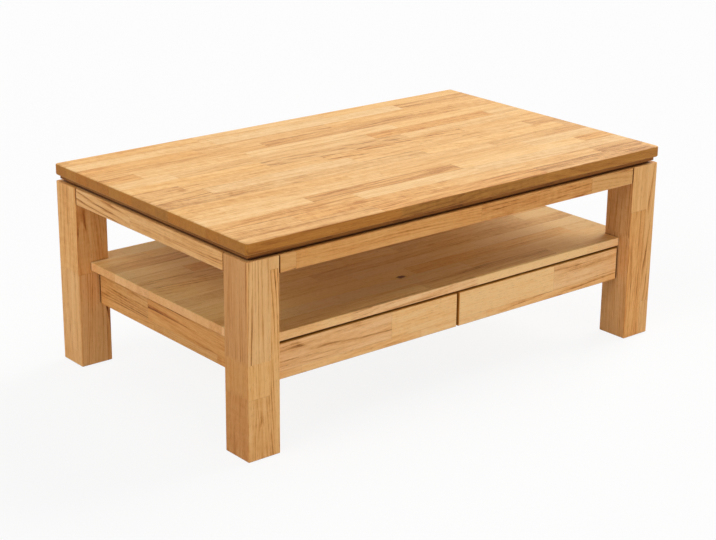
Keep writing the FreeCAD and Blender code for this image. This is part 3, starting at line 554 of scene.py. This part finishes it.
def fittings():
    """Finishes of the joinery and the metal and plastic parts."""
    wood, board = beech(), plywood()
    for node in ("rail_tenons", "panel_tenons", "shelf_dowels", "fixing_blocks"):
        dress(node, wood)
    zinc = steel("zinc_steel", paint(214, 218, 222), 0.34, 900.0, 0.12)
    bright = steel("screw_steel", paint(206, 204, 196), 0.30, 1500.0, 0.25)
    polished = steel("ball_steel", paint(228, 230, 232), 0.16, 2500.0, 0.05)
    cage = moulded("cage_plastic", paint(224, 224, 218), 2400.0)
    for side in ("left", "right"):
        dress("drawer_%s_bottom" % side, board)
        dress("balls_" + side, polished)
        dress("slide_screws_" + side, bright)
        for place in ("outer", "inner"):
            dress("runner_channel_%s_%s" % (side, place), zinc)
            dress("runner_slide_%s_%s" % (side, place), zinc)
            dress("ball_cage_%s_%s" % (side, place), cage)
    for node in ("block_screws", "top_screws", "channel_screws"):
        dress(node, bright)
    dress("drawer_bumpers", clear_rubber())
    dress("floor_glides", felt())


def towards(azimuth, elevation):
    """The direction of a place seen at these angles from the table, in degrees."""
    turn, rise = math.radians(azimuth), math.radians(elevation)
    return Vector((math.sin(turn) * math.cos(rise), -math.cos(turn) * math.cos(rise), math.sin(rise)))


def camera():
    """The camera at the angle of the photograph."""
    back = towards(CAMERA_AZIMUTH, CAMERA_ELEVATION)
    right = (-back).cross(Vector((0, 0, 1))).normalized()
    level = Matrix((right, back.cross(right), back)).transposed()
    axes = level @ Matrix.Rotation(math.radians(-CAMERA_ROLL), 3, "Z")
    made = bpy.data.objects.new("camera", bpy.data.cameras.new("camera"))
    made.matrix_world = Matrix.Translation(CAMERA_PLACE) @ axes.to_4x4()
    made.data.sensor_width = SENSOR
    made.data.lens = FOCAL_PIXELS * SENSOR / IMAGE_WIDTH
    bpy.context.scene.collection.objects.link(made)
    bpy.context.scene.camera = made


def lamps():
    """Soft distant lamps. A level of 1 lights a white card that faces the lamp to full white."""
    for name, azimuth, elevation, angle, level in LAMPS:
        light = bpy.data.lights.new(name, "SUN")
        light.angle = math.radians(angle)
        light.energy = level * math.pi
        made = bpy.data.objects.new(name, light)
        made.location = 4 * towards(azimuth, elevation)
        made.rotation_euler = towards(azimuth, elevation).to_track_quat("Z", "Y").to_euler()
        bpy.context.scene.collection.objects.link(made)


def surroundings():
    """White for the eye and for reflections, and a plain soft light for everything else."""
    world = bpy.data.worlds.new("studio")
    world.use_nodes = True
    bpy.context.scene.world = world
    tree = world.node_tree
    path = tree.nodes.new("ShaderNodeLightPath")
    seen = tree.nodes.new("ShaderNodeMath")
    seen.operation = "MAXIMUM"
    also = tree.nodes.new("ShaderNodeMath")
    also.operation = "MAXIMUM"
    tree.links.new(path.outputs["Is Camera Ray"], seen.inputs[0])
    tree.links.new(path.outputs["Is Glossy Ray"], seen.inputs[1])
    tree.links.new(seen.outputs[0], also.inputs[0])
    tree.links.new(path.outputs["Is Transmission Ray"], also.inputs[1])
    level = tree.nodes.new("ShaderNodeMapRange")
    level.inputs["To Min"].default_value = WORLD_LEVEL
    level.inputs["To Max"].default_value = 1.0
    tree.links.new(also.outputs[0], level.inputs["Value"])
    background = tree.nodes["Background"]
    background.inputs["Color"].default_value = (1, 1, 1, 1)
    tree.links.new(level.outputs[0], background.inputs["Strength"])


def floor():
    """A plain white floor, open from below and partly white by itself, so that its shadow is light."""
    half = FLOOR_SIZE / 2
    corners = [(x * half, y * half, -FLOOR_GAP) for x, y in ((-1, -1), (1, -1), (1, 1), (-1, 1))]
    mesh = bpy.data.meshes.new("floor")
    mesh.from_pydata(corners, [], [(0, 1, 2, 3)])
    made = bpy.data.objects.new("floor", mesh)
    shade = Shader("studio_floor")
    white = (FLOOR_WHITE, FLOOR_WHITE, FLOOR_WHITE, 1)
    shade.finish(Base_Color=white, Roughness=0.9, Specular_IOR_Level=0.0)
    glow = shade.node("Emission")
    blend = shade.node("MixShader")
    path = shade.node("LightPath")
    seen = path.outputs["Is Camera Ray"]
    for ray in ("Is Glossy Ray", "Is Transmission Ray"):
        seen = shade.math("MAXIMUM", seen, path.outputs[ray])
    share = shade.scaled(seen, 1 - SHADOW_SHARE)
    shade.put(share, blend.inputs[0])
    shade.put(shade.surface.outputs[0], blend.inputs[1])
    shade.put(glow.outputs[0], blend.inputs[2])
    opening = shade.node("MixShader")
    beneath = shade.node("NewGeometry").outputs["Backfacing"]
    shade.put(shade.math("MULTIPLY", path.outputs["Is Camera Ray"], beneath), opening.inputs[0])
    shade.put(blend.outputs[0], opening.inputs[1])
    shade.put(shade.node("BsdfTransparent").outputs[0], opening.inputs[2])
    shade.put(opening.outputs[0], shade.tree.nodes["Material Output"].inputs["Surface"])
    mesh.materials.append(shade.material)
    bpy.context.scene.collection.objects.link(made)


wooden_pieces()
fittings()
camera()
lamps()
surroundings()
floor()
bpy.context.scene.view_settings.view_transform = "Standard"
